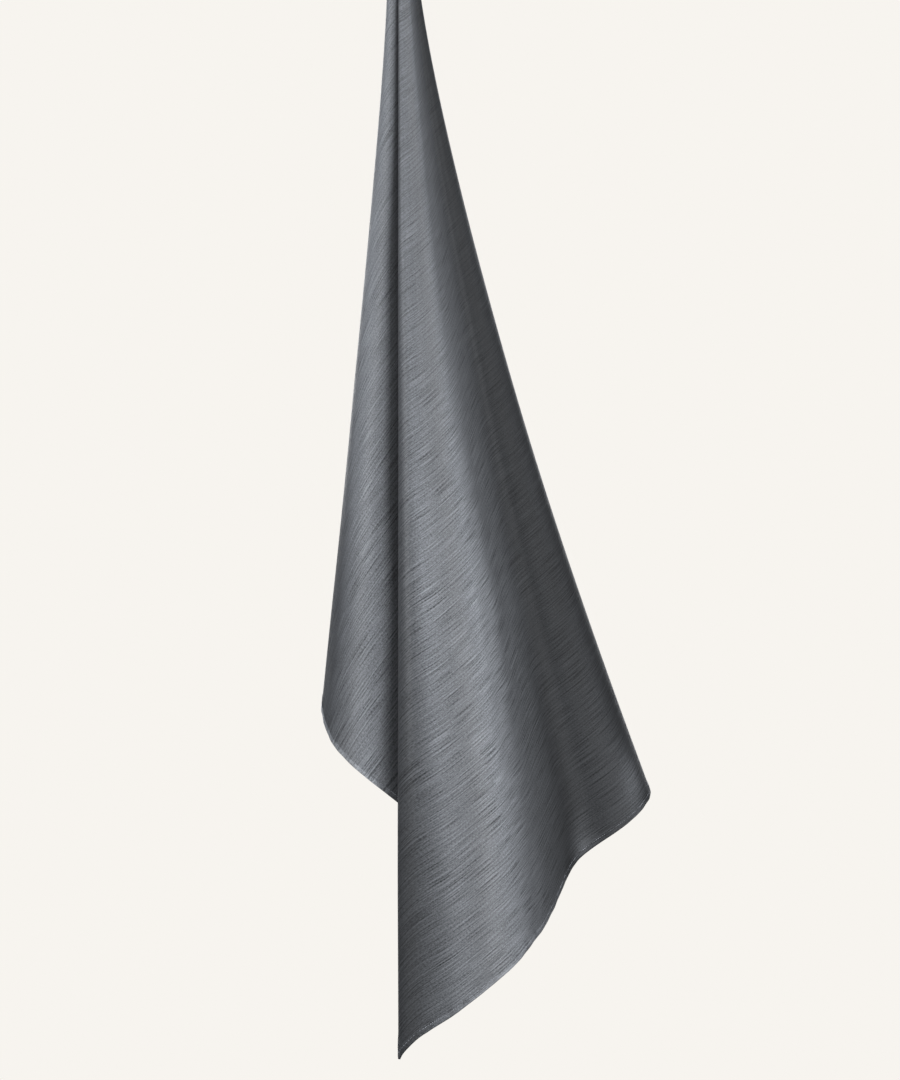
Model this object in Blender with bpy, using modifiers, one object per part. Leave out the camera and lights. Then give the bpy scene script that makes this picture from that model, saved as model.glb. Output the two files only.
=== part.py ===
"""A satin hijab that hangs from the hand, as real-size walls of folded cloth.

The cloth is one hemmed rectangle, held at the middle of one long edge. Its creases run out from
that point like the ribs of a fan, so every level cut through it has the same folds at another size.
One half of the length shows. The other half hangs just inside it, and both join at the middle line.

Metres, +Z up. The origin is the held point and -Y is the front. A place in the cloth is its share,
in degrees of the fan, counted from the front edge: negative over the front panel and the right
side, positive round behind that edge to the left side and the back.
"""

import collections
import math

import bmesh
import bpy
import numpy as np

# The cut, and the cloth's wall.
SHORT_SIDE = 0.70
LONG_SIDE = 1.80
WALL = 0.0010
HEM_WALL = 0.0014
HEM_WIDTH = 0.006
SEAM_GAP = 0.0003

# The fan of folds. The corner between the long side and the short end hangs at the front edge.
HALF_LENGTH = LONG_SIDE / 2
CORNER = math.degrees(math.atan2(HALF_LENGTH, SHORT_SIDE))
SLACK_SPAN = 2.5
FRONT_SLACK = 1.2
FRONT_SLACK_CURVE = 0.65
BACK_SLACK = 2.95
PLUMB_DEPTH = 0.10
FRONT_EDGE_DEPTH = 0.0155

Fold = collections.namedtuple("Fold", "name share turn")
FRONT_FOLDS = (
    Fold("front_edge", 2.5, 83),
    Fold("front", 0.9, -1),
    Fold("crest", 5.9, 74),
    Fold("flank", 8.3, 1),
    Fold("valley", 2.8, -59),
    Fold("second_flute", 7.3, 90),
    Fold("right_fold", 8.0, 164),
    Fold("flap", 3.375, 10),
)
BACK_FOLDS = (
    Fold("front_edge", 2.1, -74),
    Fold("tuck_in", 2.3, -18),
    Fold("tuck_turn", 3.8, 192),
    Fold("tuck_out", 4.0, -8),
    Fold("left_face", 5.0, -66),
    Fold("left_side", 5.9, -38),
    Fold("left_fold", 3.5, -76),
    Fold("back_crest", 3.4, -80),
    Fold("back_flank", 2.5, 26),
    Fold("back_valley", 5.6, 146),
    Fold("second_back_flank", 4.0, -18),
    Fold("second_back_crest", 6.1, -158),
    Fold("back_edge", 0.975, 4),
)

# How far the folds reach at one metre of drop, and how they spread on the way down: from a start
# share of that reach to an end share at the full drop, and a little more where they bunch at the hand.
RIGHT_REACH = 0.2868
LEFT_REACH = 0.0968
FULL_DROP = 0.871
BUNCH_DROP = 0.0891
BUNCH_FADE = 0.075
Spread = collections.namedtuple("Spread", "start end bunch")
RIGHT_SPREAD = Spread(0.655, 0.987, 0.0158)
LEFT_SPREAD = Spread(0.890, 0.988, 0.0359)
DEEP_SPREAD = Spread(1.0, 1.0, 0.012)

# The half that hangs inside: its space from the outer half, how much that grows a metre, and how far
# its hem is drawn up, most of all at the corner inside the front edge.
LAYER_SPACE = 0.0014
LAYER_SPREAD = 0.0045
UNDER_LIFT = 0.003
CORNER_LIFT = 0.016
CORNER_SPAN = 1.6

# The walls: where they start below the hand, and how finely they are cut.
WALL_TOP = 0.085
ROW_SHARES = (0.0, 0.03, 0.07, 0.13, 0.22, 0.35, 0.52, 0.76)
SHARE_STEP = 2.4
TURN_STEP = 24.0
FOLD_COLUMNS = 5
WALK_STEPS_A_DEGREE = 20

# One solid for each stretch of cloth. They meet where other folds hide the line.
Stretch = collections.namedtuple("Stretch", "name start end")
RIGHT_SEAM = -28.6
FRONT_SEAM = 2.6
LEFT_SEAM = 10.8
BACK_SEAM = 24.5
FLUTE_SEAM = 38.1
FREE_EDGE = -sum(fold.share for fold in FRONT_FOLDS)
MIDDLE_LINE = sum(fold.share for fold in BACK_FOLDS)
STRETCHES = (
    Stretch("right_return", FREE_EDGE, RIGHT_SEAM),
    Stretch("front_panel", RIGHT_SEAM, FRONT_SEAM),
    Stretch("tucked_pleat", FRONT_SEAM, LEFT_SEAM),
    Stretch("left_fold", LEFT_SEAM, BACK_SEAM),
    Stretch("back_panel", BACK_SEAM, FLUTE_SEAM),
)

# The gather in the hand.
GATHER_GAP = 0.0005
GATHER_SIDES = 60
GATHER_FLUTES = 7
FLUTE_DEPTH = 0.30
WAIST_WIDTH = 0.012
WAIST_DEPTH = 0.009
TUFT_HEIGHT = 0.013
TUFT_FLARE = 1.5
TUFT_ROUND = 0.72
GATHER_RINGS = 9
TUFT_RINGS = 4

SATIN_COLOUR = (0.122, 0.127, 0.139, 1.0)
SATIN_ROUGHNESS = 0.36
SATIN_SHEEN = 0.25


def walk(folds, heading):
    """Shares, and points for one metre of drop, along the folds from the front edge on."""
    ends = np.concatenate([[0.0], np.cumsum([fold.share for fold in folds])])
    headings = heading + np.concatenate([[0.0], np.cumsum([fold.turn for fold in folds])])
    shares = np.linspace(0.0, ends[-1], round(ends[-1] * WALK_STEPS_A_DEGREE) + 1)
    angles = np.radians(np.interp(shares, ends, headings))
    steps = np.stack([np.cos(angles), np.sin(angles)], axis=1)
    steps = (steps[1:] + steps[:-1]) / 2 * math.radians(shares[1])
    points = np.concatenate([[[0.0, 0.0]], np.cumsum(steps, axis=0)])
    return shares, points + (0.0, FRONT_EDGE_DEPTH)


def whole_section():
    """The two walks as one line, from the free edge round to the middle line."""
    front_shares, front_points = walk(FRONT_FOLDS, -90.0)
    back_shares, back_points = walk(BACK_FOLDS, 90.0)
    shares = np.concatenate([-front_shares[::-1], back_shares[1:]])
    points = np.concatenate([front_points[::-1], back_points[1:]])
    return shares, points


SECTION_SHARES, SECTION_POINTS = whole_section()


def at_share(share):
    """The section's point at a share, for one metre of drop."""
    x = np.interp(share, SECTION_SHARES, SECTION_POINTS[:, 0])
    y = np.interp(share, SECTION_SHARES, SECTION_POINTS[:, 1])
    return float(x), float(y)


def spread(kind, drop):
    """A reach at this drop: narrower than a true fan at first, and bunched near the hand."""
    grown = kind.start + (kind.end - kind.start) * min(drop / FULL_DROP, 1.0)
    return drop * grown + kind.bunch * math.exp(-(drop - BUNCH_DROP) / BUNCH_FADE)


def outer_place(share, drop):
    """Where the outer half's cloth is, as x and y."""
    x, y = at_share(share)
    across = min(max((x + LEFT_REACH) / (RIGHT_REACH + LEFT_REACH), 0.0), 1.0)
    across = across * across * (3 - 2 * across)
    left = spread(LEFT_SPREAD, drop)
    right = spread(RIGHT_SPREAD, drop)
    return np.array([(left + (right - left) * across) * x, spread(DEEP_SPREAD, drop) * (y - PLUMB_DEPTH)])


def along_section(share, drop):
    """The section's direction there, towards the middle line."""
    reach = 1 / WALK_STEPS_A_DEGREE
    before = outer_place(max(share - reach, FREE_EDGE), drop)
    after = outer_place(min(share + reach, MIDDLE_LINE), drop)
    return (after - before) / np.linalg.norm(after - before)


def hem_drop(share):
    """How far down the hem lies: the cut's distance from the held point, along this fold."""
    run = min(abs(share) / SLACK_SPAN, 1)
    slack = FRONT_SLACK * run**FRONT_SLACK_CURVE if share < 0 else BACK_SLACK * run
    angle = math.radians(CORNER - share - slack)
    if angle > math.radians(CORNER):
        reach = HALF_LENGTH / math.sin(angle)
    else:
        reach = SHORT_SIDE / math.cos(angle)
    x, y = at_share(share)
    return reach / math.sqrt(1 + x * x + (y - PLUMB_DEPTH) ** 2)


def under_lift(share, side):
    """How far above the outer half's hem this side's hem lies."""
    return side * (UNDER_LIFT + CORNER_LIFT * math.exp(-((share / CORNER_SPAN) ** 2)))


def cloth_point(share, side, drop, shift=0.0):
    """A point of the cloth. Side is 0 on the outer half, 1 on the inner, and between them in the fold."""
    space = LAYER_SPACE + max(drop - WALL_TOP, 0.0) * LAYER_SPREAD
    along = along_section(share, drop)
    inward = np.array([along[1], -along[0]])
    place = outer_place(share, drop) + along * (shift + space / 2 * math.sin(math.pi * side))
    place = place + inward * space * (1 - math.cos(math.pi * side)) / 2
    return (*place, -drop)


def turn_at(share):
    """How far the section has turned, whichever way, from the front edge to this share."""
    folds = FRONT_FOLDS if share < 0 else BACK_FOLDS
    ends = np.concatenate([[0.0], np.cumsum([fold.share for fold in folds])])
    turned = np.concatenate([[0.0], np.cumsum([abs(fold.turn) for fold in folds])])
    return math.copysign(np.interp(abs(share), ends, turned), share)


def columns_between(start, end):
    """Shares from start to end, close together where the cloth turns sharply."""
    shares = np.linspace(start, end, round((end - start) * WALK_STEPS_A_DEGREE) + 1)
    measure = shares / SHARE_STEP + [turn_at(share) / TURN_STEP for share in shares]
    count = max(round(measure[-1] - measure[0]), 1)
    return np.interp(np.linspace(measure[0], measure[-1], count + 1), measure, shares)


def stretch_columns(start, end):
    """The columns of one stretch, with one on the front edge where it crosses that."""
    if start < 0 < end:
        return np.concatenate([columns_between(start, 0.0)[:-1], columns_between(0.0, end)])
    return columns_between(start, end)


def column_drops(share, side):
    """The drops of one column's points, from the top of the wall to the hem."""
    hem = hem_drop(share) - under_lift(share, side)
    body = [WALL_TOP + (hem - HEM_WIDTH - WALL_TOP) * part for part in ROW_SHARES]
    return body + [hem - HEM_WIDTH, hem]


def satin(name):
    """Cool grey satin, smooth and softly shining."""
    material = bpy.data.materials.new(name)
    material.use_nodes = True
    shader = material.node_tree.nodes["Principled BSDF"]
    shader.inputs["Base Color"].default_value = SATIN_COLOUR
    shader.inputs["Roughness"].default_value = SATIN_ROUGHNESS
    shader.inputs["Metallic"].default_value = 0.0
    shader.inputs["Sheen Weight"].default_value = SATIN_SHEEN
    return material


def lofted(name, sections, closed, collection):
    """An object whose surface runs through the sections, each a list of points."""
    shape = bmesh.new()
    lines = [[shape.verts.new(point) for point in section] for section in sections]
    count = len(lines[0])
    for line, following in zip(lines[:-1], lines[1:]):
        for index in range(count if closed else count - 1):
            beside = (index + 1) % count
            shape.faces.new((line[index], line[beside], following[beside], following[index]))
    if closed:
        shape.faces.new(lines[0])
        shape.faces.new(lines[-1])
    bmesh.ops.recalc_face_normals(shape, faces=shape.faces)
    mesh = bpy.data.meshes.new(name)
    shape.to_mesh(mesh)
    shape.free()
    mesh.shade_smooth()
    mesh.materials.append(satin(name + "_satin"))
    obj = bpy.data.objects.new(name, mesh)
    collection.objects.link(obj)
    return obj


def hang_cloth(name, columns, collection):
    """A stretch of cloth with its wall, from columns of (share, side)."""
    shifts = [0.0] * len(columns)
    for end, beside in ((0, 1), (-1, -2)):
        shifts[end] = math.copysign(SEAM_GAP / 2, columns[beside][0] - columns[end][0])
    lines = []
    for (share, side), shift in zip(columns, shifts):
        drops = column_drops(share, side)
        lines.append([cloth_point(share, side, drop, shift) for drop in drops])
    obj = lofted(name, lines, False, collection)
    rows = len(lines[0])
    body = [index for index in range(len(obj.data.vertices)) if index % rows < rows - 2]
    group = obj.vertex_groups.new(name="hem")
    group.add(list(range(len(obj.data.vertices))), 1.0, "REPLACE")
    group.add(body, 0.0, "REPLACE")
    wall = obj.modifiers.new("wall", "SOLIDIFY")
    wall.thickness = HEM_WALL
    wall.offset = 0.0
    wall.use_even_offset = True
    wall.vertex_group = "hem"
    wall.thickness_vertex_group = WALL / HEM_WALL
    return obj


def hang_halves(collection):
    """The outer half's stretches, the inner half's behind them, and the flute that joins both."""
    for stretch in STRETCHES:
        shares = stretch_columns(stretch.start, stretch.end)
        hang_cloth(stretch.name, [(share, 0.0) for share in shares], collection)
        hang_cloth("under_" + stretch.name, [(share, 1.0) for share in shares], collection)
    shares = stretch_columns(FLUTE_SEAM, MIDDLE_LINE)
    sides = np.arange(1, FOLD_COLUMNS + 1) / (FOLD_COLUMNS + 1)
    columns = [(share, 0.0) for share in shares]
    columns += [(MIDDLE_LINE, side) for side in sides]
    columns += [(share, 1.0) for share in shares[::-1]]
    hang_cloth("back_flute", columns, collection)


def bundle_outline():
    """The middle of the bundle at the wall's top, and its reach from there in each direction."""
    shares = np.linspace(FREE_EDGE, MIDDLE_LINE, 400)
    points = np.array([outer_place(share, WALL_TOP) for share in shares])
    middle = (points.min(axis=0) + points.max(axis=0)) / 2
    reach = np.linalg.norm(points - middle, axis=1)
    angles = np.arctan2(points[:, 1] - middle[1], points[:, 0] - middle[0])
    outline = []
    for side in range(GATHER_SIDES):
        direction = 2 * math.pi * side / GATHER_SIDES
        near = np.cos(angles - direction) > math.cos(1.5 * math.pi / GATHER_SIDES)
        outline.append(reach[near].max() if near.any() else outline[-1])
    outline = np.array(outline)
    smooth = (np.roll(outline, 1) + 2 * outline + np.roll(outline, -1)) / 4
    return middle, smooth + WALL / 2


def gather_ring(height, middle, outline, pinch, flare):
    """One ring of the gather. Pinch runs from 0 at the bundle to 1 at the waist."""
    points = []
    for side in range(GATHER_SIDES):
        angle = 2 * math.pi * side / GATHER_SIDES
        waist = math.hypot(WAIST_WIDTH / 2 * math.cos(angle), WAIST_DEPTH / 2 * math.sin(angle))
        reach = outline[side] * (1 - pinch) + waist * pinch
        flute = 0.5 - 0.5 * math.cos(GATHER_FLUTES * angle)
        reach *= flare * (1 - FLUTE_DEPTH * math.sin(math.pi * min(pinch, 1) / 2) * flute)
        centre = middle * (1 - pinch)
        points.append((centre[0] + reach * math.cos(angle), centre[1] + reach * math.sin(angle), height))
    return points


def gather_cloth(collection):
    """The cloth's top drawn together in the hand, with a small tuft above it."""
    middle, outline = bundle_outline()
    rings = []
    for part in np.linspace(0.0, 1.0, GATHER_RINGS):
        height = -(WALL_TOP - GATHER_GAP) * (1 - part)
        rings.append(gather_ring(height, middle, outline, part, 1.0))
    for part in np.linspace(0.0, 1.0, TUFT_RINGS + 1)[1:]:
        flare = 1 + (TUFT_FLARE - 1) * math.sin(math.pi * part * TUFT_ROUND)
        rings.append(gather_ring(TUFT_HEIGHT * part, middle, outline, 1.0, flare))
    lofted("held_gather", rings, True, collection)


def main():
    for obj in list(bpy.data.objects):
        bpy.data.objects.remove(obj, do_unlink=True)
    collection = bpy.data.collections.new("satin_hijab")
    bpy.context.scene.collection.children.link(collection)
    hang_halves(collection)
    gather_cloth(collection)


main()
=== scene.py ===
"""A satin hijab hanging from the hand: one hemmed sheet of slubbed grey satin, folded like a fan.

Metres, +Z up. The origin is the held point and -Y is the front. A place in the cloth is its share,
in degrees of the fan, counted from the front edge: negative over the front panel and the right
side, positive round behind that edge to the left side and the back. The sheet runs from one end of
the scarf over the outer half, turns at the middle line, and comes back as the inner half.
"""

import collections
import math

import bmesh
import bpy
import numpy as np
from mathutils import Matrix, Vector


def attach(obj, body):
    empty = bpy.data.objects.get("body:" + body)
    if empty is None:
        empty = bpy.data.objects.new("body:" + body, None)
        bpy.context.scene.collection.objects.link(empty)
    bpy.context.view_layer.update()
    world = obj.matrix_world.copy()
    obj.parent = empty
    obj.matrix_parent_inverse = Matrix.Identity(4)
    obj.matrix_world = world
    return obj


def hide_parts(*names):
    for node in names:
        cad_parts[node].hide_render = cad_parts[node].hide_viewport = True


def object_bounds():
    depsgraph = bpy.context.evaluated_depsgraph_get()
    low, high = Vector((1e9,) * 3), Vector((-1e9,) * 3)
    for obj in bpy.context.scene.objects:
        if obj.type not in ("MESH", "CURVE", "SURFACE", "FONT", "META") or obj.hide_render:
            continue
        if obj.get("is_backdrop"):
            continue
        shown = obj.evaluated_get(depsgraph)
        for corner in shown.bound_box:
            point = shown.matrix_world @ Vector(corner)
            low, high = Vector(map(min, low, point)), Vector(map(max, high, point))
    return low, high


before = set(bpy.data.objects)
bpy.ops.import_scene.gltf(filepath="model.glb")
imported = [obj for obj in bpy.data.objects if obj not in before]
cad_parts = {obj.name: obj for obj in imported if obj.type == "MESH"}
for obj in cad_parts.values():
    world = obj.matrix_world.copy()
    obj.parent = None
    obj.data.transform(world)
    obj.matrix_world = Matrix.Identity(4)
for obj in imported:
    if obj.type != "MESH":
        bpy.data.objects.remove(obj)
CAD_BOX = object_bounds()

# The cut, and the cloth's thickness.
SHORT_SIDE = 0.70
LONG_SIDE = 1.80
HALF_LENGTH = LONG_SIDE / 2
BODY_THICK = 0.0006
HEM_THICK = 0.0013
NECK_THICK = 0.0003

# The fan of folds, as the solids have it. Slack is the degrees of the cut that ease in on either
# side of the front edge.
CORNER = math.degrees(math.atan2(HALF_LENGTH, SHORT_SIDE))
SLACK_SPAN = 2.5
FRONT_SLACK = 1.2
FRONT_SLACK_CURVE = 0.65
BACK_SLACK = 2.95
PLUMB_DEPTH = 0.10
FRONT_EDGE_DEPTH = 0.0155

# Each fold's share of the fan, and how far the section turns along it, both in degrees.
Fold = collections.namedtuple("Fold", "name share turn")
FRONT_FOLDS = (
    Fold("front_edge", 2.5, 83),
    Fold("front", 0.9, -1),
    Fold("crest", 5.9, 74),
    Fold("flank", 8.3, 1),
    Fold("valley", 2.8, -59),
    Fold("second_flute", 7.3, 90),
    Fold("right_fold", 8.0, 164),
    Fold("flap", 3.375, 10),
)
BACK_FOLDS = (
    Fold("front_edge", 2.1, -74),
    Fold("tuck_in", 2.3, -18),
    Fold("tuck_turn", 3.8, 192),
    Fold("tuck_out", 4.0, -8),
    Fold("left_face", 5.0, -66),
    Fold("left_side", 5.9, -38),
    Fold("left_fold", 3.5, -76),
    Fold("back_crest", 3.4, -80),
    Fold("back_flank", 2.5, 26),
    Fold("back_valley", 5.6, 146),
    Fold("second_back_flank", 4.0, -18),
    Fold("second_back_crest", 6.1, -158),
    Fold("back_edge", 0.975, 4),
)
FREE_EDGE = -sum(fold.share for fold in FRONT_FOLDS)
MIDDLE_LINE = sum(fold.share for fold in BACK_FOLDS)

# How the fan opens on its way down: as a part of its full reach at the top and at the full drop,
# with a little more where it is bunched under the hand.
RIGHT_REACH = 0.2868
LEFT_REACH = 0.0968
FULL_DROP = 0.871
BUNCH_DROP = 0.0891
BUNCH_FADE = 0.075
Spread = collections.namedtuple("Spread", "start end bunch")
RIGHT_SPREAD = Spread(0.655, 0.987, 0.0158)
LEFT_SPREAD = Spread(0.890, 0.988, 0.0359)
DEEP_SPREAD = Spread(1.0, 1.0, 0.012)

# How far the inner half hangs inside the outer, and how far above it at the hem.
LAYER_SPACE = 0.0014
LAYER_SPREAD = 0.0045
UNDER_LIFT = 0.003
CORNER_LIFT = 0.016
CORNER_SPAN = 1.6

# The gather in the hand: it narrows from the wall's top to the held point, and flares above it.
WALL_TOP = 0.085
WAIST_SHARE = 0.35
NECK_CURVE = 1.15
TUFT_HEIGHT = 0.013
TUFT_FLARE = 0.5
TUFT_ROUND = 0.72
TUFT_RUFFLE = 0.0012

# How finely the sheet is cut.
WALK_STEPS_A_DEGREE = 20
OUTER_SHARE_STEP = 0.6
OUTER_TURN_STEP = 6.0
INNER_SHARE_STEP = 1.6
INNER_TURN_STEP = 14.0
FOLD_COLUMNS = 7
BODY_ROWS = 50
ROW_CROWDING = 1.05
NECK_DROPS = (
    -0.013, -0.0105, -0.0075, -0.004, 0.0, 0.006, 0.013, 0.021, 0.03, 0.04, 0.051, 0.062, 0.073
)

# The hem's rows, in from the edge, and the degrees over which the free edge's columns make room
# for them. A hem's width in degrees hangs on its drop, so it is worked out in a few passes.
HEM_INSETS = (0.0, 0.0008, 0.002, 0.0035, 0.0047, 0.0056, 0.0068)
HEM_ZONE = 11.4
HEM_PASSES = 3

# The wall's weight in its narrow places: 1 is the hem's full thickness, 0 is the cloth in the hand.
HEM_GROOVE_ROW = 2
HEM_GROOVE_WEIGHT = 0.8
NECK_WEIGHT = 0.15

# Soft creases that run down the fan, in degrees and metres: positive heights are ridges.
Crease = collections.namedtuple("Crease", "share width height top bottom lean")
CREASES = (
    Crease(-6.4, 1.3, -0.0005, 0.30, 1.00, 0.4),
    Crease(-13.6, 1.2, -0.0005, 0.35, 0.95, 0.5),
    Crease(-16.2, 1.0, 0.0005, 0.45, 0.95, -0.6),
    Crease(-23.4, 1.3, 0.0006, 0.50, 0.90, 0.5),
    Crease(-30.5, 1.2, 0.0008, 0.30, 0.85, 0.6),
    Crease(17.2, 1.3, -0.0004, 0.25, 0.75, -0.4),
    Crease(20.8, 1.2, 0.0004, 0.35, 0.75, 0.5),
    Crease(25.2, 0.9, -0.0007, 0.25, 0.70, 0.5),
    Crease(31.0, 1.1, 0.0009, 0.25, 0.70, -0.6),
    Crease(37.0, 1.0, -0.0008, 0.30, 0.70, 0.5),
    Crease(43.5, 1.2, 0.0009, 0.25, 0.70, 0.6),
)

# A crease fades in and out over a third of its run, and ends a little past its bottom.
CREASE_FADE = 3
CREASE_END = 1.15

# The cloth's own unevenness: long low waves below the hand, and a ripple close to the hem.
Wave = collections.namedtuple("Wave", "height across down start")
WAVES = (Wave(1.0, 0.9, 9.0, 0.0), Wave(0.6, 1.7, -13.0, 1.3), Wave(0.5, 0.5, 21.0, 0.4))
WAVE_HEIGHT = 0.0002
WAVE_TOP = 0.15
WAVE_GROWTH = 0.35
RIPPLE_HEIGHT = 0.00025
RIPPLE_REACH = 0.03

# The stitch line in the hem, and its thread.
STITCH_INSET = 0.0048
STITCH_STEP = 0.00265
STITCH_WIDTH = 0.0007
STITCH_RISE = 0.00022
STITCH_SINK = 0.0002
STITCH_SLANT = 0.0001
STITCH_ROUND = 0.6
STITCH_HAND_GAP = 0.10
STITCH_MIDDLE_GAP = 0.004
STEPS_A_STITCH = 4
THREAD_SIDES = 5
THREAD_AHEAD = 0.001
MERGE_DISTANCE = 0.000001

# The view, and the pale stage round it.
VIEW_MIDDLE = (0.051, 0.0, -0.6237)
VIEW_DISTANCE = 20.0
VIEW_HEIGHT = 1.0692
SENSOR_HEIGHT = 24.0
STAGE_COLOUR = (0.930, 0.905, 0.863, 1.0)
DRUM_RADIUS = 26.0
DRUM_SIDES = 64
CLIP_END = 2.5 * DRUM_RADIUS
FLOOR_SIZE = 24.0
FLOOR_LEVEL = -1.75

# The softboxes, by azimuth in degrees round from the front towards the right. Sizes are in metres,
# and power is in watts.
Softbox = collections.namedtuple("Softbox", "name azimuth height distance width tall power")
SOFTBOXES = (
    Softbox("right_box", 58, 0.3, 2.6, 1.4, 2.2, 57.5),
    Softbox("left_box", -66, 0.2, 2.6, 1.2, 2.2, 40),
    Softbox("front_fill", 10, 1.2, 3.5, 2.0, 1.2, 45),
    Softbox("back_right_box", 168, 0.4, 2.8, 1.4, 2.2, 37),
    Softbox("back_left_box", -172, 0.4, 2.8, 1.4, 2.2, 31),
)
LIGHT_COLOUR = (0.95, 0.97, 1.0)
AIM_DEPTH = 0.03
ROOM_COLOUR = (0.133, 0.138, 0.152, 1.0)

# Where the cloth gives or draws up along the bias, which moves its hem a few millimetres. Share and
# width are in degrees of the fan, and give is a part of the length.
BiasGive = collections.namedtuple("BiasGive", "share width give")
BIAS_GIVES = (BiasGive(-12.4, 2.4, 0.0068), BiasGive(-2.4, 1.1, -0.0046))

# The satin. A grain is a noise that is stretched along the yarns: how often it changes in a metre
# across them and down them, and the layer of the noise that it reads.
SATIN_COLOUR = (0.121, 0.1255, 0.132)
SATIN_ROUGHNESS = 0.45
SATIN_GLOSS = 0.35
SATIN_SHEEN = 0.03
SHEEN_ROUGHNESS = 0.4
Grain = collections.namedtuple("Grain", "across down layer")
YARN_DRIFT = Grain(90, 6, 0.0)
YARN_BREAKS = Grain(420, 26, 4.0)
DARK_SLUBS = Grain(980, 24, 7.0)
LIGHT_SLUBS = Grain(980, 24, 13.0)
FINE_GRAIN = Grain(1100, 500, 2.0)
SLUB_CLUSTERS = Grain(30, 14, 3.0)
CLOUDS = Grain(16, 9, 11.0)
HEM_PUCKERS = Grain(75, 75, 5.0)
YARN_PITCH = 1850
DRIFT_REACH = 14
YARN_STRENGTH = 0.24
FINE_STRENGTH = 1.3
LIGHT_SLUB_STRENGTH = 0.32
DARK_SLUB_STRENGTH = 0.38
CLOUD_STRENGTH = 0.07
PUCKER_SHADE = 0.22
GROOVE_SHADE = 0.15
HEM_LIGHT = 0.05
HEM_EDGE = (0.0058, 0.0066)
PUCKER_EDGE = (0.004, 0.014)
GROOVE_WIDTH = 0.0007
BUMP_STRENGTH = 0.5
BUMP_HEIGHT = 0.00012
THREAD_COLOUR = (0.36, 0.37, 0.40)
THREAD_ROUGHNESS = 0.45
THREAD_MOTTLE = 160

# Painted light and shade round the folds: the highlights on the crests and the shade in the valleys
# and turned edges are painted into the satin's colour. Each row has its share and its light at
# three heights, high, middle and low in the cloth, because the folds open on the way down.
PAINTED_LIGHT_DROPS = (0.35, 0.68, 1.0)
PAINTED_LIGHT_WANDER = 0.2
PAINTED_LIGHT_WANDER_SPAN = 8
PaintedLight = collections.namedtuple("PaintedLight", "name shares lights")
PAINTED_LIGHTS = (
    PaintedLight("free_edge", (-40.0, -40.0, -40.0), (0.50, 0.50, 0.50)),
    PaintedLight("right_fold", (-29.0, -29.0, -29.0), (0.50, 0.40, 0.35)),
    PaintedLight("right_rim", (-26.0, -26.2, -26.0), (0.45, 0.28, 0.12)),
    PaintedLight("right_edge", (-24.8, -25.3, -25.2), (0.26, 0.13, 0.16)),
    PaintedLight("flute_crest", (-23.2, -23.4, -23.4), (0.23, 0.24, 0.38)),
    PaintedLight("flute_side", (-22.0, -22.0, -21.6), (0.16, 0.17, 0.36)),
    PaintedLight("flute_foot", (-20.8, -20.4, -20.4), (0.25, 0.21, 0.34)),
    PaintedLight("valley", (-19.4, -19.0, -18.6), (0.31, 0.18, 0.14)),
    PaintedLight("flank_foot", (-17.6, -17.4, -16.4), (0.56, 0.46, 0.19)),
    PaintedLight("flank", (-14.5, -14.0, -14.0), (0.74, 0.72, 0.38)),
    PaintedLight("flank_top", (-12.4, -12.7, -10.9), (0.90, 0.90, 0.85)),
    PaintedLight("crest_side", (-9.6, -10.9, -9.2), (1.06, 1.60, 1.42)),
    PaintedLight("crest_peak", (-7.6, -8.2, -8.0), (1.40, 2.10, 1.60)),
    PaintedLight("crest_front", (-6.0, -6.0, -6.0), (1.12, 1.28, 1.14)),
    PaintedLight("front", (-4.6, -4.8, -4.9), (1.30, 1.54, 1.30)),
    PaintedLight("front_light", (-2.6, -3.2, -4.2), (1.65, 2.00, 1.22)),
    PaintedLight("edge_rise", (-1.7, -2.2, -3.0), (1.55, 1.22, 0.80)),
    PaintedLight("edge_shade", (-0.7, -1.1, -1.8), (0.88, 0.66, 0.42)),
    PaintedLight("front_edge", (0.0, 0.0, 0.0), (0.70, 0.50, 0.28)),
    PaintedLight("tuck", (2.5, 2.5, 2.5), (0.30, 0.30, 0.30)),
    PaintedLight("tuck_out", (11.0, 11.0, 11.0), (0.42, 0.45, 0.45)),
    PaintedLight("left_shade", (12.6, 12.25, 11.8), (0.50, 0.42, 0.90)),
    PaintedLight("left_light", (13.5, 13.1, 12.7), (1.55, 1.75, 2.90)),
    PaintedLight("left_peak", (16.5, 14.2, 13.1), (2.42, 2.05, 2.60)),
    PaintedLight("left_fall", (18.6, 16.4, 14.0), (2.35, 1.50, 0.80)),
    PaintedLight("left_side", (21.0, 18.6, 17.0), (1.30, 0.75, 0.62)),
    PaintedLight("left_rim", (23.0, 20.6, 20.2), (0.70, 0.52, 0.45)),
    PaintedLight("left_fold", (25.5, 25.0, 25.0), (0.60, 0.50, 0.50)),
    PaintedLight("back_crest", (27.5, 27.5, 27.5), (1.30, 1.50, 1.50)),
    PaintedLight("back_valley", (33.0, 33.0, 33.0), (0.30, 0.25, 0.20)),
    PaintedLight("second_back_flank", (38.5, 38.5, 38.5), (0.80, 0.80, 0.70)),
    PaintedLight("second_back_crest", (43.0, 43.0, 43.0), (1.40, 1.60, 1.60)),
    PaintedLight("back_edge", (49.3, 49.3, 49.3), (0.60, 0.60, 0.60)),
)

# Soft patches of painted light and shade near the hem. Lift is how far above the hem one lies, and
# light is added to the painted light and shade.
PaintedPatch = collections.namedtuple("PaintedPatch", "name share width lift reach light")
PAINTED_PATCHES = (
    PaintedPatch("corner", -24.0, 1.2, 0.026, 0.026, 0.52),
    PaintedPatch("notch_light", -19.0, 0.8, 0.013, 0.013, 0.46),
    PaintedPatch("notch_dark", -17.0, 0.4, 0.008, 0.012, -0.10),
)

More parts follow.
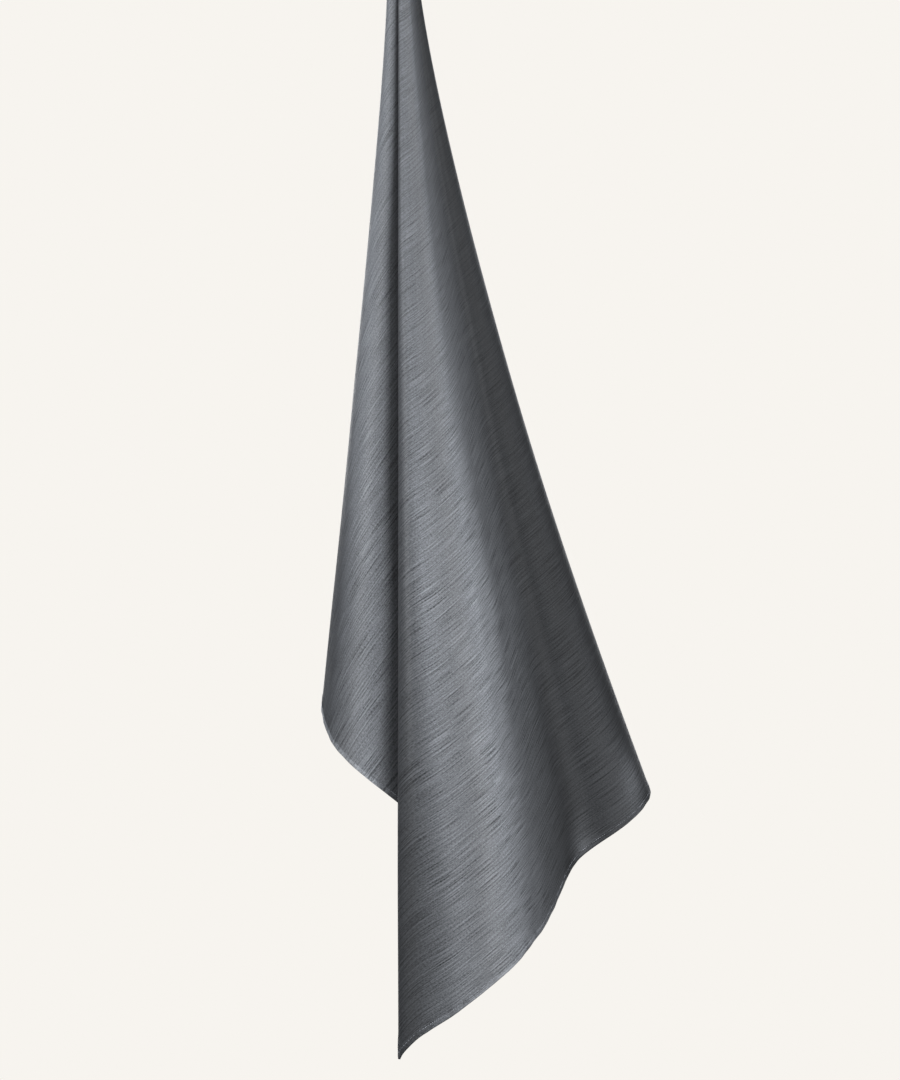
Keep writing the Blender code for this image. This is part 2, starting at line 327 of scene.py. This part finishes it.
# A painted highlight along the turned hem's edge: how much lighter it is, by share.
HEM_HIGHLIGHT_BAND = (0.0045, 0.0065)
HEM_HIGHLIGHTS = (
    (-26.0, 0.1),
    (-21.0, 0.0),
    (-18.0, 0.1),
    (-14.0, 0.4),
    (-11.0, 0.3),
    (-7.0, 0.2),
    (12.0, 0.2),
    (14.0, 0.4),
    (17.0, 1.3),
    (20.0, 3.0),
    (22.5, 1.8),
    (24.5, 0.2),
)


def walk(folds, heading):
    """Shares, and points for one metre of drop, along the folds from the front edge on."""
    ends = np.concatenate([[0.0], np.cumsum([fold.share for fold in folds])])
    headings = heading + np.concatenate([[0.0], np.cumsum([fold.turn for fold in folds])])
    shares = np.linspace(0.0, ends[-1], round(ends[-1] * WALK_STEPS_A_DEGREE) + 1)
    angles = np.radians(np.interp(shares, ends, headings))
    steps = np.stack([np.cos(angles), np.sin(angles)], axis=1)
    steps = (steps[1:] + steps[:-1]) / 2 * math.radians(shares[1])
    points = np.concatenate([[[0.0, 0.0]], np.cumsum(steps, axis=0)])
    return shares, points + (0.0, FRONT_EDGE_DEPTH)


def whole_section():
    """The two walks as one line, from the free edge round to the middle line."""
    front_shares, front_points = walk(FRONT_FOLDS, -90.0)
    back_shares, back_points = walk(BACK_FOLDS, 90.0)
    shares = np.concatenate([-front_shares[::-1], back_shares[1:]])
    points = np.concatenate([front_points[::-1], back_points[1:]])
    return shares, points


SECTION_SHARES, SECTION_POINTS = whole_section()


def at_share(share):
    """The section's points at these shares, for one metre of drop."""
    x = np.interp(share, SECTION_SHARES, SECTION_POINTS[:, 0])
    y = np.interp(share, SECTION_SHARES, SECTION_POINTS[:, 1])
    return x, y


def smooth_step(value):
    value = np.clip(value, 0.0, 1.0)
    return value * value * (3 - 2 * value)


def spread(kind, drop):
    """A reach at this drop: narrower than a true fan at first, and bunched near the hand."""
    grown = kind.start + (kind.end - kind.start) * np.minimum(drop / FULL_DROP, 1.0)
    return drop * grown + kind.bunch * np.exp(-(drop - BUNCH_DROP) / BUNCH_FADE)


def outer_place(share, drop):
    """Where the outer half's cloth is, as x and y in the last axis."""
    x, y = at_share(share)
    across = smooth_step((x + LEFT_REACH) / (RIGHT_REACH + LEFT_REACH))
    left = spread(LEFT_SPREAD, drop)
    right = spread(RIGHT_SPREAD, drop)
    sideways = (left + (right - left) * across) * x
    return np.stack([sideways, spread(DEEP_SPREAD, drop) * (y - PLUMB_DEPTH)], axis=-1)


def along_section(share, drop):
    """The section's direction there, towards the middle line."""
    reach = 1 / WALK_STEPS_A_DEGREE
    before = outer_place(np.maximum(share - reach, FREE_EDGE), drop)
    after = outer_place(np.minimum(share + reach, MIDDLE_LINE), drop)
    step = after - before
    return step / np.linalg.norm(step, axis=-1, keepdims=True)


def cut_angle(share):
    """The angle in the flat cut, from the middle line to this share's line."""
    run = np.minimum(np.abs(share) / SLACK_SPAN, 1)
    slack = np.where(share < 0, FRONT_SLACK * run**FRONT_SLACK_CURVE, BACK_SLACK * run)
    return np.radians(CORNER - share - slack)


def hang_length(share):
    """Length of cloth in one metre of drop, a little less where the bias gives."""
    x, y = at_share(share)
    give = 0.0
    for bias in BIAS_GIVES:
        give = give + bias.give * np.exp(-(((share - bias.share) / bias.width) ** 2))
    return np.sqrt(1 + x * x + (y - PLUMB_DEPTH) ** 2) / (1 + give)


def hem_drop(share, inset=0.0):
    """How far down the hem lies, or a line this far in from it."""
    angle = cut_angle(share)
    end_reach = (HALF_LENGTH - inset) / np.maximum(np.sin(angle), 1e-6)
    side_reach = (SHORT_SIDE - inset) / np.maximum(np.cos(angle), 1e-6)
    return np.minimum(end_reach, side_reach) / hang_length(share)


def rise(share, drop):
    """How far the creases and the cloth's own unevenness lift it outward."""
    height = np.zeros(np.broadcast(share, drop).shape)
    for crease in CREASES:
        run = (drop - crease.top) / (crease.bottom - crease.top)
        centre = crease.share + crease.lean * run
        fade = smooth_step(run * CREASE_FADE) * smooth_step((CREASE_END - run) * CREASE_FADE)
        height = height + crease.height * fade * np.exp(-(((share - centre) / crease.width) ** 2))
    swell = 0.0
    for wave in WAVES:
        swell = swell + wave.height * np.sin(wave.across * share + wave.down * drop + wave.start)
    height = height + WAVE_HEIGHT * swell * smooth_step((drop - WAVE_TOP) / WAVE_GROWTH)
    from_hem = hem_drop(share) - drop
    ripple = np.sin(3.1 * share + 1.1 * np.sin(1.3 * share)) + 0.5 * np.sin(5.9 * share + 0.8)
    return height + RIPPLE_HEIGHT * ripple * smooth_step(1 - from_hem / RIPPLE_REACH)


def cloth_place(share, side, drop):
    """Points of the cloth. Side is 0 on the outer half, 1 on the inner, and between in the turn."""
    hung = np.maximum(drop, WALL_TOP)
    space = LAYER_SPACE + (hung - WALL_TOP) * LAYER_SPREAD
    along = along_section(share, hung)
    inward = np.stack([along[..., 1], -along[..., 0]], axis=-1)
    place = outer_place(share, hung) + along * (space / 2 * np.sin(np.pi * side))[..., None]
    place = place + inward * (space * (1 - np.cos(np.pi * side)) / 2 - rise(share, hung))[..., None]
    pinch = np.clip(1 - drop / WALL_TOP, 0.0, 1.0)
    scale = 1 - (1 - WAIST_SHARE) * pinch**NECK_CURVE
    above = np.clip(-drop / TUFT_HEIGHT, 0.0, 1.0)
    scale = scale * (1 + TUFT_FLARE * np.sin(np.pi * TUFT_ROUND * above))
    ruffle = TUFT_RUFFLE * above * np.sin(1.3 * share + 2.0 * side)
    return np.concatenate([place * scale[..., None], (-drop + ruffle)[..., None]], axis=-1)


def turn_at(share):
    """How far the section has turned, whichever way, from the front edge to these shares."""
    turned = []
    for folds in (FRONT_FOLDS, BACK_FOLDS):
        ends = np.concatenate([[0.0], np.cumsum([fold.share for fold in folds])])
        sums = np.concatenate([[0.0], np.cumsum([abs(fold.turn) for fold in folds])])
        turned.append(np.interp(np.abs(share), ends, sums))
    return np.where(share < 0, -turned[0], turned[1])


def half_columns(share_step, turn_step):
    """Shares from the free edge to the middle line, close together where the cloth turns."""
    shares = SECTION_SHARES
    measure = shares / share_step + turn_at(shares) / turn_step
    count = round(measure[-1] - measure[0])
    return np.interp(np.linspace(measure[0], measure[-1], count + 1), measure, shares)


def under_lift(share, side):
    """How far the inner half hangs above the outer: more at the corner, inside the fold."""
    return side * (UNDER_LIFT + CORNER_LIFT * np.exp(-((share / CORNER_SPAN) ** 2)))


def half_grid(shares, side):
    """Share and drop of every point of one half, a row for each column of the cloth."""
    insets = np.array(HEM_INSETS)
    body = (np.arange(BODY_ROWS) / BODY_ROWS) ** ROW_CROWDING

    def drops(columns):
        lift = under_lift(columns[..., -1:], side)
        start = hem_drop(columns, HEM_INSETS[-1])[..., -1:] - lift
        inner = WALL_TOP + (start - WALL_TOP) * body
        hems = [hem_drop(columns[..., -1:], inset) - lift for inset in insets[::-1]]
        top = np.broadcast_to(NECK_DROPS, (len(columns), len(NECK_DROPS)))
        return np.concatenate([top, inner, *hems], axis=1)

    rows = len(NECK_DROPS) + BODY_ROWS + len(insets)
    plain = np.repeat(shares[:, None], rows, axis=1)
    edge = np.full((len(insets), rows), FREE_EDGE)
    columns = np.concatenate([edge, plain[1:]])
    for _ in range(HEM_PASSES):
        reach = np.maximum(drops(columns), WALL_TOP) * hang_length(columns)
        widths = np.degrees(insets[-1] / reach)
        hem = FREE_EDGE + np.degrees(insets[:, None] / reach[: len(insets)])
        past = plain[1:] - FREE_EDGE
        near = past < HEM_ZONE
        moved = widths[len(insets) :] + past * (HEM_ZONE - widths[len(insets) :]) / HEM_ZONE
        rest = np.where(near, FREE_EDGE + moved, plain[1:])
        columns = np.concatenate([hem, rest])
    return columns, drops(columns)


def sheet_grid():
    """Share, side and drop of the whole sheet: the outer half, the turn and the inner half."""
    outer, outer_drops = half_grid(half_columns(OUTER_SHARE_STEP, OUTER_TURN_STEP), 0.0)
    inner, inner_drops = half_grid(half_columns(INNER_SHARE_STEP, INNER_TURN_STEP), 1.0)
    sides = np.arange(1, FOLD_COLUMNS + 1) / (FOLD_COLUMNS + 1)
    turn_drops = [outer_drops[-1] + (inner_drops[-1] - outer_drops[-1]) * side for side in sides]
    turn = np.full((FOLD_COLUMNS, outer.shape[1]), MIDDLE_LINE)
    shares = np.concatenate([outer, turn, inner[::-1]])
    drops = np.concatenate([outer_drops, np.array(turn_drops), inner_drops[::-1]])
    across = np.concatenate([np.zeros(len(outer)), sides, np.ones(len(inner))])
    return shares, np.repeat(across[:, None], outer.shape[1], axis=1), drops


def flat_place(share, side, drop):
    """Where these points lie in the flat cut, in metres from the middle of its held edge."""
    reach = drop * hang_length(share)
    angle = cut_angle(share)
    way = np.cos(np.pi * side)
    return np.stack([reach * np.sin(angle) * way, reach * np.cos(angle)], axis=-1)


def painted_light_at(share, drop):
    """The painted light and shade on the satin's colour there, between the rows of the table."""
    wander = PAINTED_LIGHT_WANDER * np.minimum(np.abs(share) / PAINTED_LIGHT_WANDER_SPAN, 1.0)
    place = share + wander * (np.sin(11.0 * drop + 0.4) + 0.5 * np.sin(27.0 * drop + 1.9))
    shares = [np.interp(drop, PAINTED_LIGHT_DROPS, painted_light.shares) for painted_light in PAINTED_LIGHTS]
    lights = [np.interp(drop, PAINTED_LIGHT_DROPS, painted_light.lights) for painted_light in PAINTED_LIGHTS]
    level = lights[0]
    for index in range(1, len(PAINTED_LIGHTS)):
        passed = (place - shares[index - 1]) / (shares[index] - shares[index - 1])
        level = level + (lights[index] - lights[index - 1]) * np.clip(passed, 0.0, 1.0)
    lift = hem_drop(share) - drop
    # Painted patches of light and shade near the hem.
    for patch in PAINTED_PATCHES:
        away = ((share - patch.share) / patch.width) ** 2 + ((lift - patch.lift) / patch.reach) ** 2
        level = level + patch.light * np.exp(-away)
    # A painted highlight along the hem's edge, strongest on the left side.
    hem = 1 - smooth_step((lift - HEM_HIGHLIGHT_BAND[0]) / (HEM_HIGHLIGHT_BAND[1] - HEM_HIGHLIGHT_BAND[0]))
    hem_shares, hem_highlights = zip(*HEM_HIGHLIGHTS)
    return level * (1 + hem * np.interp(share, hem_shares, hem_highlights))


def link(name, data):
    """A new object of this mesh, light or camera, in the scene."""
    obj = bpy.data.objects.new(name, data)
    bpy.context.scene.collection.objects.link(obj)
    return obj


def cloth_sheet(name):
    """The whole scarf as one sheet, its flat cut as its UV map and its painted light and shade as
    an attribute.
    """
    shares, sides, drops = sheet_grid()
    places = cloth_place(shares, sides, drops)
    flat = flat_place(shares, sides, drops)
    columns, rows = shares.shape
    shape = bmesh.new()
    bmesh.ops.create_grid(shape, x_segments=columns - 1, y_segments=rows - 1, size=1.0)
    column_of = [round((vert.co.x + 1) / 2 * (columns - 1)) for vert in shape.verts]
    row_of = [round((vert.co.y + 1) / 2 * (rows - 1)) for vert in shape.verts]
    for vert, column, row in zip(shape.verts, column_of, row_of):
        vert.co = places[column, row]
    mesh = bpy.data.meshes.new(name)
    shape.to_mesh(mesh)
    shape.free()
    mesh.shade_smooth()
    column_of = np.array(column_of)
    row_of = np.array(row_of)
    corners = np.empty(len(mesh.loops), np.int32)
    mesh.loops.foreach_get("vertex_index", corners)
    cut = mesh.uv_layers.new(name="cut")
    cut.data.foreach_set("uv", flat[column_of, row_of][corners].astype(np.float32).ravel())
    # The painted light and shade round the folds, kept on the points.
    painted_light = mesh.attributes.new("painted_light", "FLOAT", "POINT")
    levels = painted_light_at(shares, drops)
    painted_light.data.foreach_set("value", levels[column_of, row_of].astype(np.float32))
    sheet = link(name, mesh)
    wall_weights(sheet, column_of, row_of, columns, rows)
    wall = sheet.modifiers.new("wall", "SOLIDIFY")
    wall.thickness = HEM_THICK
    wall.offset = 0.0
    wall.use_even_offset = False
    wall.use_quality_normals = True
    wall.vertex_group = "wall"
    wall.thickness_vertex_group = NECK_THICK / HEM_THICK
    return sheet


def wall_weights(sheet, column_of, row_of, columns, rows):
    """Full thickness in the turned hem, thinner cloth in the body and thinnest in the hand."""
    hem = len(HEM_INSETS) - 1
    from_edge = np.minimum.reduce([rows - 1 - row_of, column_of, columns - 1 - column_of])
    body = (BODY_THICK - NECK_THICK) / (HEM_THICK - NECK_THICK)
    weights = np.where(from_edge < hem, 1.0, body)
    weights = np.where(from_edge == HEM_GROOVE_ROW, HEM_GROOVE_WEIGHT, weights)
    in_neck = row_of < len(NECK_DROPS)
    weights = np.where(in_neck, weights * NECK_WEIGHT * row_of / len(NECK_DROPS), weights)
    group = sheet.vertex_groups.new(name="wall")
    for level in np.unique(np.round(weights, 3)):
        chosen = np.nonzero(np.round(weights, 3) == level)[0]
        group.add(chosen.tolist(), float(level), "REPLACE")


def share_of_angle(angle):
    """The share whose line in the flat cut has this angle."""
    angles = cut_angle(SECTION_SHARES)
    return np.interp(-angle, -angles, SECTION_SHARES)


def stitch_line():
    """Points of one half's stitch line in the flat cut, and how many stitches come before each.

    It runs from the hand along the held edge, down the end, and back to the middle line.
    """
    end = HALF_LENGTH - STITCH_INSET
    side = SHORT_SIDE - STITCH_INSET
    start = (STITCH_HAND_GAP, STITCH_INSET)
    corners = np.array([start, (end, STITCH_INSET), (end, side), (STITCH_MIDDLE_GAP, side)])
    runs = np.concatenate([[0.0], np.cumsum(np.linalg.norm(np.diff(corners, axis=0), axis=1))])
    count = round(runs[-1] / STITCH_STEP) * STEPS_A_STITCH
    run = np.linspace(0.0, runs[-1], count + 1)
    line = np.stack([np.interp(run, runs, corners[:, axis]) for axis in (0, 1)], axis=1)
    return line, np.arange(count + 1) / STEPS_A_STITCH


def stitch_places(line, side):
    """Where these points of the cut hang, with the thread's direction and the cloth's normal."""
    def hang(flat):
        share = share_of_angle(np.arctan2(flat[:, 0], flat[:, 1]))
        drop = np.linalg.norm(flat, axis=1) / hang_length(share) - under_lift(share, side)
        return cloth_place(share, np.full(len(flat), side), drop), share, drop

    steps = np.diff(line, axis=0, append=line[-1:] * 2 - line[-2:-1])
    steps = steps / np.linalg.norm(steps, axis=1, keepdims=True) * THREAD_AHEAD
    middle, share, drop = hang(line)
    ahead = hang(line + steps)[0]
    along = ahead - middle
    along = along / np.linalg.norm(along, axis=1, keepdims=True)
    section = along_section(share, np.maximum(drop, WALL_TOP))
    outward = np.stack([-section[:, 1], section[:, 0], np.zeros(len(line))], axis=1)
    normal = outward - along * np.sum(outward * along, axis=1, keepdims=True)
    normal = normal / np.linalg.norm(normal, axis=1, keepdims=True)
    return middle, along, normal


def thread_line(shape, side, face):
    """One row of stitches: a thread along the line that sinks into the cloth between them."""
    line, along_run = stitch_line()
    middles, alongs, normals = stitch_places(line, side)
    bulge = np.abs(np.sin(np.pi * along_run)) ** STITCH_ROUND
    sideways = np.cross(normals, alongs) * face
    slant = np.sin(np.pi * (along_run % 1.0 * 2 - 1)) * STITCH_SLANT
    sunk = HEM_THICK / 2 - STITCH_SINK
    made = bmesh.ops.create_grid(shape, x_segments=len(line) - 1, y_segments=THREAD_SIDES, size=1.0)
    for vert in made["verts"]:
        step = round((vert.co.x + 1) / 2 * (len(line) - 1))
        angle = (vert.co.y + 1) * math.pi
        width = STITCH_WIDTH / 2 * bulge[step] * math.cos(angle) + slant[step]
        height = sunk + STITCH_RISE * bulge[step] * (1 + math.sin(angle))
        vert.co = middles[step] + sideways[step] * width + normals[step] * face * height


def hem_stitches(name):
    """The stitches on both faces of the hem, all round the scarf."""
    shape = bmesh.new()
    for side in (0.0, 1.0):
        for face in (1, -1):
            thread_line(shape, side, face)
    bmesh.ops.remove_doubles(shape, verts=shape.verts, dist=MERGE_DISTANCE)
    bmesh.ops.recalc_face_normals(shape, faces=shape.faces)
    mesh = bpy.data.meshes.new(name)
    shape.to_mesh(mesh)
    shape.free()
    mesh.shade_smooth()
    return link(name, mesh)


class Value:
    """One shader value, so that its maths reads as an expression."""

    def __init__(self, shader, socket):
        self.shader = shader
        self.socket = socket

    def maths(self, operation, *values):
        node = self.shader.add("ShaderNodeMath", {"operation": operation}, dict(enumerate(values)))
        return Value(self.shader, node.outputs[0])

    def __add__(self, other):
        return self.maths("ADD", self, other)

    def __sub__(self, other):
        return self.maths("SUBTRACT", self, other)

    def __rsub__(self, other):
        return self.maths("SUBTRACT", other, self)

    def __mul__(self, other):
        return self.maths("MULTIPLY", self, other)

    def least(self, other):
        return self.maths("MINIMUM", self, other)

    def size(self):
        return self.maths("ABSOLUTE", self)

    def wave(self):
        return self.maths("SINE", self)

    def between(self, low, high):
        """0 below low, 1 above high and smooth between them."""
        inputs = {"Value": self, "From Min": low, "From Max": high}
        node = self.shader.add("ShaderNodeMapRange", {"interpolation_type": "SMOOTHSTEP"}, inputs)
        return Value(self.shader, node.outputs[0])

    __radd__ = __add__
    __rmul__ = __mul__


class Shader:
    """A material's nodes, round its Principled shader."""

    def __init__(self, name):
        self.material = bpy.data.materials.new(name)
        self.material.use_nodes = True
        self.nodes = self.material.node_tree.nodes
        self.principled = self.nodes["Principled BSDF"]

    def add(self, kind, settings, inputs):
        node = self.nodes.new(kind)
        for key, setting in settings.items():
            setattr(node, key, setting)
        for key, value in inputs.items():
            self.put(node.inputs[key], value)
        return node

    def put(self, socket, value):
        if isinstance(value, Value):
            value = value.socket
        if isinstance(value, bpy.types.NodeSocket):
            self.material.node_tree.links.new(value, socket)
        else:
            socket.default_value = value

    def value(self, kind, output, settings, inputs):
        return Value(self, self.add(kind, settings, inputs).outputs[output])

    def noise(self, x, y, z, detail=0.0):
        """Noise from 0 to 1 at this place."""
        place = self.add("ShaderNodeCombineXYZ", {}, {"X": x, "Y": y, "Z": z}).outputs[0]
        inputs = {"Vector": place, "Scale": 1.0, "Detail": detail}
        return self.value("ShaderNodeTexNoise", "Fac", {"noise_dimensions": "3D"}, inputs)

    def shade(self, colour, level):
        """The colour made this much lighter or darker."""
        inputs = {0: colour, "Scale": level}
        return self.add("ShaderNodeVectorMath", {"operation": "SCALE"}, inputs).outputs[0]

    def finish(self, **inputs):
        """Set the shader's own sockets, with _ for each space in their names."""
        for key, value in inputs.items():
            self.put(self.principled.inputs[key.replace("_", " ")], value)
        return self.material


def satin(name):
    """Slubbed satin: fine yarns across the scarf's length, thicker and thinner as they run."""
    shader = Shader(name)
    uv = shader.add("ShaderNodeUVMap", {"uv_map": "cut"}, {}).outputs[0]
    parts = shader.add("ShaderNodeSeparateXYZ", {}, {"Vector": uv})
    across = Value(shader, parts.outputs["X"])
    down = Value(shader, parts.outputs["Y"])
    # The painted light and shade round the folds, read from the cloth's points.
    painted_light = shader.value("ShaderNodeAttribute", "Fac", {"attribute_name": "painted_light"}, {})

    def noise(grain, detail=0.0):
        return shader.noise(across * grain.across, down * grain.down, grain.layer, detail)

    lines = (across * YARN_PITCH + noise(YARN_DRIFT) * DRIFT_REACH).wave()
    broken = noise(YARN_BREAKS).between(0.38, 0.62)
    dark_slubs = 1 - noise(DARK_SLUBS).between(0.36, 0.44)
    light_slubs = noise(LIGHT_SLUBS).between(0.56, 0.64)
    fine = noise(FINE_GRAIN)
    cluster = noise(SLUB_CLUSTERS).between(0.25, 0.75)
    cloud = noise(CLOUDS, 1.0)

    from_hand = shader.value("ShaderNodeVectorMath", "Value", {"operation": "LENGTH"}, {0: uv})
    edge = (HALF_LENGTH - across.size()).least(SHORT_SIDE - down).least(down)
    hem = 1 - edge.between(*HEM_EDGE)
    pucker = noise(HEM_PUCKERS).between(0.55, 0.72) * (1 - edge.between(*PUCKER_EDGE))
    groove = 1 - (edge - STITCH_INSET).size().between(0.0, GROOVE_WIDTH)

    slubs = light_slubs * LIGHT_SLUB_STRENGTH - dark_slubs * DARK_SLUB_STRENGTH
    weave = lines * broken * YARN_STRENGTH + (fine - 0.5) * FINE_STRENGTH
    weave = weave + slubs * (cluster * 0.4 + 0.8)
    weave = 1 + weave * (from_hand.between(0.1, 0.75) * 0.4 + 0.6)
    level = weave * (1 + (cloud - 0.5) * CLOUD_STRENGTH) * (1 - pucker * PUCKER_SHADE)
    # The painted light and shade round the folds multiply the colour here.
    level = level * (1 + hem * HEM_LIGHT) * (1 - groove * GROOVE_SHADE) * painted_light
    height = lines * broken * 0.3 + light_slubs * 0.6 - dark_slubs * 0.4 - pucker * 2.0
    height = height - groove * 1.5
    bump = {"Strength": BUMP_STRENGTH, "Distance": BUMP_HEIGHT, "Height": height}
    roughness = SATIN_ROUGHNESS + (fine - 0.5) * 0.08 + dark_slubs * 0.05
    return shader.finish(
        Base_Color=shader.shade(SATIN_COLOUR, level),
        # Rougher where the painted shade is.
        Roughness=roughness + (1 - painted_light).between(0.0, 0.6) * 0.2,
        Normal=shader.add("ShaderNodeBump", {}, bump).outputs[0],
        Specular_IOR_Level=SATIN_GLOSS,
        Sheen_Weight=SATIN_SHEEN,
        Sheen_Roughness=SHEEN_ROUGHNESS,
    )


def thread(name):
    """The sewing thread, a little lighter than the cloth."""
    shader = Shader(name)
    place = shader.add("ShaderNodeTexCoord", {}, {}).outputs["Object"]
    parts = shader.add("ShaderNodeSeparateXYZ", {}, {"Vector": place})
    axes = [Value(shader, parts.outputs[axis]) for axis in "XYZ"]
    mottle = shader.noise(*[axis * THREAD_MOTTLE for axis in axes])
    colour = shader.shade(THREAD_COLOUR, mottle * 2 - 0.3)
    return shader.finish(Base_Color=colour, Roughness=THREAD_ROUGHNESS)


def glowing(name, colour):
    """A pale stage that is lit evenly from behind."""
    black = (0.0, 0.0, 0.0, 1.0)
    return Shader(name).finish(
        Base_Color=black, Specular_IOR_Level=0.0, Emission_Color=colour, Emission_Strength=1.0
    )


def stage_piece(name, shape, material):
    """A piece of the stage that is seen, and throws neither light nor shade on the cloth."""
    mesh = bpy.data.meshes.new(name)
    shape.to_mesh(mesh)
    shape.free()
    mesh.materials.append(material)
    piece = link(name, mesh)
    piece.visible_diffuse = False
    piece.visible_glossy = False
    piece.visible_shadow = False
    piece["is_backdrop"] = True


def pale_stage():
    """A wide pale floor, and a pale drum far outside it as the backdrop on every side."""
    cream = glowing("stage_cream", STAGE_COLOUR)
    drum = bmesh.new()
    bmesh.ops.create_cone(
        drum,
        cap_ends=True,
        segments=DRUM_SIDES,
        radius1=DRUM_RADIUS,
        radius2=DRUM_RADIUS,
        depth=2 * DRUM_RADIUS,
    )
    stage_piece("backdrop", drum, cream)
    floor = bmesh.new()
    bmesh.ops.create_grid(floor, x_segments=1, y_segments=1, size=FLOOR_SIZE / 2)
    bmesh.ops.translate(floor, vec=(0.0, 0.0, FLOOR_LEVEL), verts=floor.verts)
    stage_piece("floor", floor, cream)


def soft_light(box):
    """A softbox that faces the cloth and isn't seen."""
    aim = Vector(VIEW_MIDDLE) + Vector((0.0, AIM_DEPTH, 0.0))
    angle = math.radians(box.azimuth)
    way = Vector((math.sin(angle) * box.distance, -math.cos(angle) * box.distance, box.height))
    data = bpy.data.lights.new(box.name, "AREA")
    data.shape = "RECTANGLE"
    data.size = box.width
    data.size_y = box.tall
    data.energy = box.power
    data.color = LIGHT_COLOUR
    lamp = link(box.name, data)
    lamp.location = aim + way
    lamp.rotation_euler = (-way).to_track_quat("-Z", "Y").to_euler()
    lamp.visible_camera = False


def dress_stage():
    """The camera, the pale backdrop and floor, and the lights."""
    data = bpy.data.cameras.new("front_view")
    data.sensor_fit = "VERTICAL"
    data.sensor_height = SENSOR_HEIGHT
    data.lens = SENSOR_HEIGHT * VIEW_DISTANCE / VIEW_HEIGHT
    data.clip_end = CLIP_END
    camera = link("front_view", data)
    camera.location = Vector(VIEW_MIDDLE) - Vector((0.0, VIEW_DISTANCE, 0.0))
    camera.rotation_euler = (math.pi / 2, 0.0, 0.0)
    bpy.context.scene.camera = camera

    pale_stage()
    for box in SOFTBOXES:
        soft_light(box)
    world = bpy.data.worlds.new("studio")
    world.use_nodes = True
    world.node_tree.nodes["Background"].inputs["Color"].default_value = ROOM_COLOUR
    world.node_tree.nodes["Background"].inputs["Strength"].default_value = 1.0
    bpy.context.scene.world = world
    bpy.context.scene.view_settings.view_transform = "Standard"


def main():
    dress_stage()
    cloth = cloth_sheet("scarf_cloth")
    cloth.data.materials.append(satin("slubbed_satin"))
    stitches = hem_stitches("hem_stitches")
    stitches.data.materials.append(thread("hem_thread"))
    for piece in (cloth, stitches):
        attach(piece, "root")
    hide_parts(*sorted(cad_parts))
    boxes = [[list(map(float, corner)) for corner in box] for box in (CAD_BOX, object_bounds())]


main()
